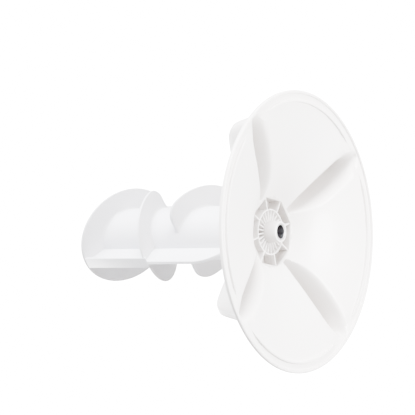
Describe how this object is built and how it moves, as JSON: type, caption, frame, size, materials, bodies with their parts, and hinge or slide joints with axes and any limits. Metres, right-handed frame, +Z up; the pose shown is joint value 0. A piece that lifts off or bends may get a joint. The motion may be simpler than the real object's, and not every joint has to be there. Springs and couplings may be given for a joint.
{
  "type": "washing machine agitator",
  "caption": "White moulded agitator: wide bell-shaped wash plate with hollow vanes, and a ratcheting auger with flat tilted flights and upright fins on its post.",
  "frame": {"origin": "centre of the plane the rim stands on", "axes": "+Z up the drive axis from the rim to the cap, +X along the auger's front fin and one vane"},
  "size_m": [0.34, 0.34, 0.312],
  "materials": {
    "white_plastic": "satin white polypropylene",
    "white_plastic_auger": "satin white polypropylene, faintly cool",
    "drive_steel": "machined",
    "bearing_plastic": "natural acetal",
    "clutch_plastic": "natural nylon",
    "dog_plastic": "dark nylon",
    "bolt_steel": "zinc plated",
    "seal_rubber": "matt"
  },
  "bodies": {
    "plate": {"wash_plate": "white_plastic", "drive_insert": "drive_steel", "centre_post": "white_plastic", "lower_bearing": "bearing_plastic", "upper_bearing": "bearing_plastic", "thrust_spacer": "bearing_plastic", "clutch_cam": "clutch_plastic", "dog_retainer": "clutch_plastic", "bolt_seal": "seal_rubber"},
    "auger": {"auger": "white_plastic_auger"},
    "dog_1": {"clutch_dog_1": "dog_plastic"},
    "dog_2": {"clutch_dog_2": "dog_plastic"},
    "dog_3": {"clutch_dog_3": "dog_plastic"},
    "dog_4": {"clutch_dog_4": "dog_plastic"},
    "bolt": {"agitator_bolt": "bolt_steel", "bolt_washer": "bolt_steel"},
    "inner_cap": {"inner_cap": "white_plastic", "inner_cap_ring": "seal_rubber"},
    "top_cap": {"top_cap": "white_plastic_auger", "top_cap_ring": "seal_rubber"}
  },
  "joints": [
    {"name": "auger_spin", "type": "hinge", "parent": "plate", "child": "auger", "pos_m": [0, 0, 0.0704], "axis": [0, 0, 1], "continuous": true},
    {"name": "dog_1_swing", "type": "hinge", "parent": "plate", "child": "dog_1", "pos_m": [0.0235, 0, 0.254], "axis": [0, 0, -1], "range_deg": [0, 10]},
    {"name": "dog_2_swing", "type": "hinge", "parent": "plate", "child": "dog_2", "pos_m": [0, 0.0235, 0.254], "axis": [0, 0, -1], "range_deg": [0, 10]},
    {"name": "dog_3_swing", "type": "hinge", "parent": "plate", "child": "dog_3", "pos_m": [-0.0235, 0, 0.254], "axis": [0, 0, -1], "range_deg": [0, 10]},
    {"name": "dog_4_swing", "type": "hinge", "parent": "plate", "child": "dog_4", "pos_m": [0, -0.0235, 0.254], "axis": [0, 0, -1], "range_deg": [0, 10]},
    {"name": "bolt_travel", "type": "slide", "parent": "plate", "child": "bolt", "axis": [0, 0, -1], "range_m": [0, 0.017]},
    {"name": "inner_cap_pull", "type": "slide", "parent": "plate", "child": "inner_cap", "axis": [0, 0, 1], "range_m": [0, 0.015]},
    {"name": "top_cap_pull", "type": "slide", "parent": "auger", "child": "top_cap", "axis": [0, 0, 1], "range_m": [0, 0.03]}
  ],
  "couplings": [
    {"joint": "dog_2_swing", "follows": "dog_1_swing", "ratio": 1},
    {"joint": "dog_3_swing", "follows": "dog_1_swing", "ratio": 1},
    {"joint": "dog_4_swing", "follows": "dog_1_swing", "ratio": 1}
  ]
}
